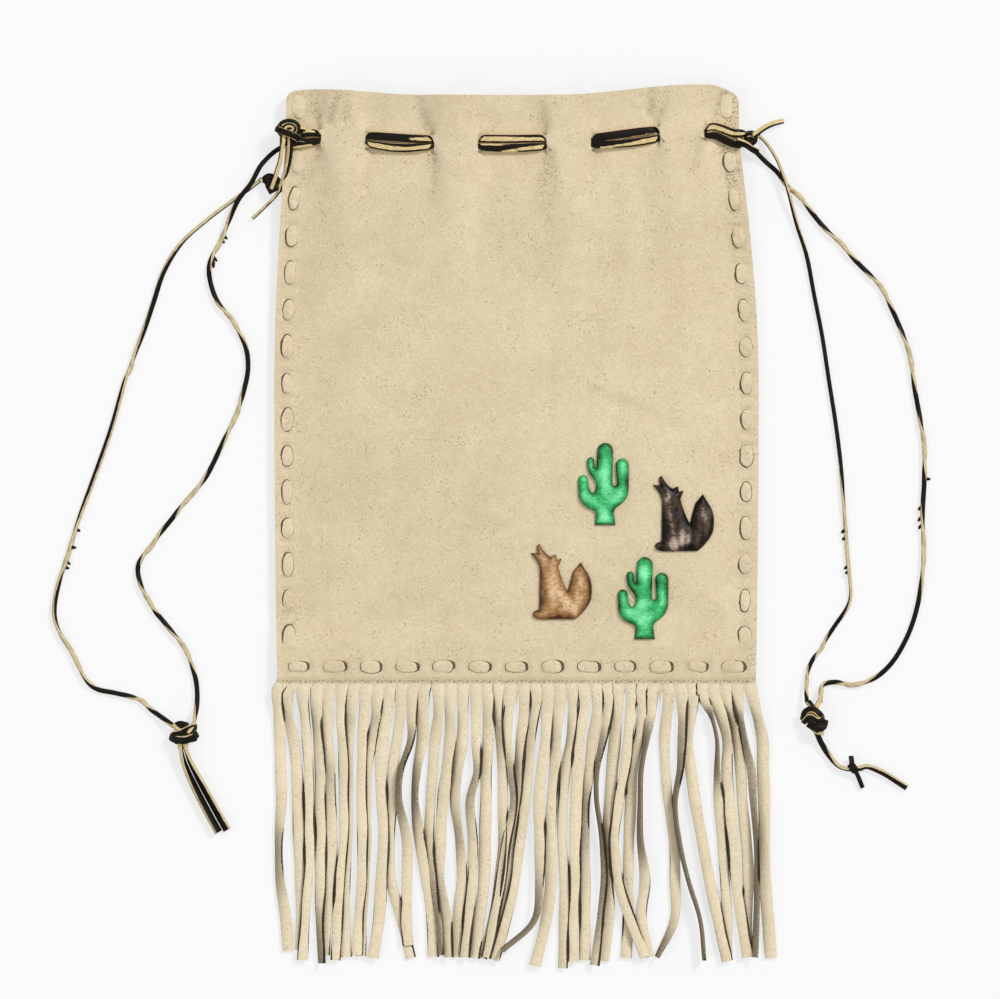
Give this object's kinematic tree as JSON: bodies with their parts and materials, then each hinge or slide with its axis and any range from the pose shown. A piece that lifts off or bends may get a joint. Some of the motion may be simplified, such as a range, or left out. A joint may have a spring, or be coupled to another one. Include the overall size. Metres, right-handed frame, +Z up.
{
  "type": "fringed drawstring shoulder bag",
  "caption": "Cream suede drawstring pouch laced round its edges, with a cut fringe, leather lace shoulder loops and padded satin desert motifs.",
  "frame": {"origin": "centre of the back panel's underside, where the bag lies on the table", "axes": "+X across the bag to the right as the front is seen, +Y towards the mouth, +Z up from the table out of the front panel"},
  "size_m": [0.4373, 0.4384, 0.0175],
  "materials": {
    "suede": "matte napped suede, cream",
    "thong_suede": "matte suede thong, paler cream",
    "satin_green": "glossy padded satin, green",
    "satin_brown": "glossy padded satin, dark brown",
    "satin_gold": "glossy padded satin, gold brown",
    "lace_leather": "smooth black leather lace, raw tan on its edges and flesh side"
  },
  "bodies": {
    "root": {"front_panel": "suede", "back_panel": "suede", "fringe_strip": "suede", "edge_lacing": "thong_suede", "upper_cactus_applique": "satin_green", "lower_cactus_applique": "satin_green", "dark_coyote_applique": "satin_brown", "gold_coyote_applique": "satin_gold", "left_drawstring": "lace_leather", "right_drawstring": "lace_leather", "left_hitch_knot": "lace_leather", "left_lower_knot": "lace_leather", "left_end_knot": "lace_leather", "right_hitch_knot": "lace_leather", "right_end_knot": "lace_leather", "right_tail_knot": "lace_leather", "left_outer_strand": "lace_leather", "left_inner_strand": "lace_leather", "left_outer_tail": "lace_leather", "left_inner_tail": "lace_leather", "left_short_end": "lace_leather", "left_drop_outer": "lace_leather", "left_drop_inner": "lace_leather", "right_outer_strand": "lace_leather", "right_inner_strand": "lace_leather", "right_end_tail": "lace_leather", "right_tail_tip": "lace_leather", "right_short_end": "lace_leather"}
  },
  "joints": []
}
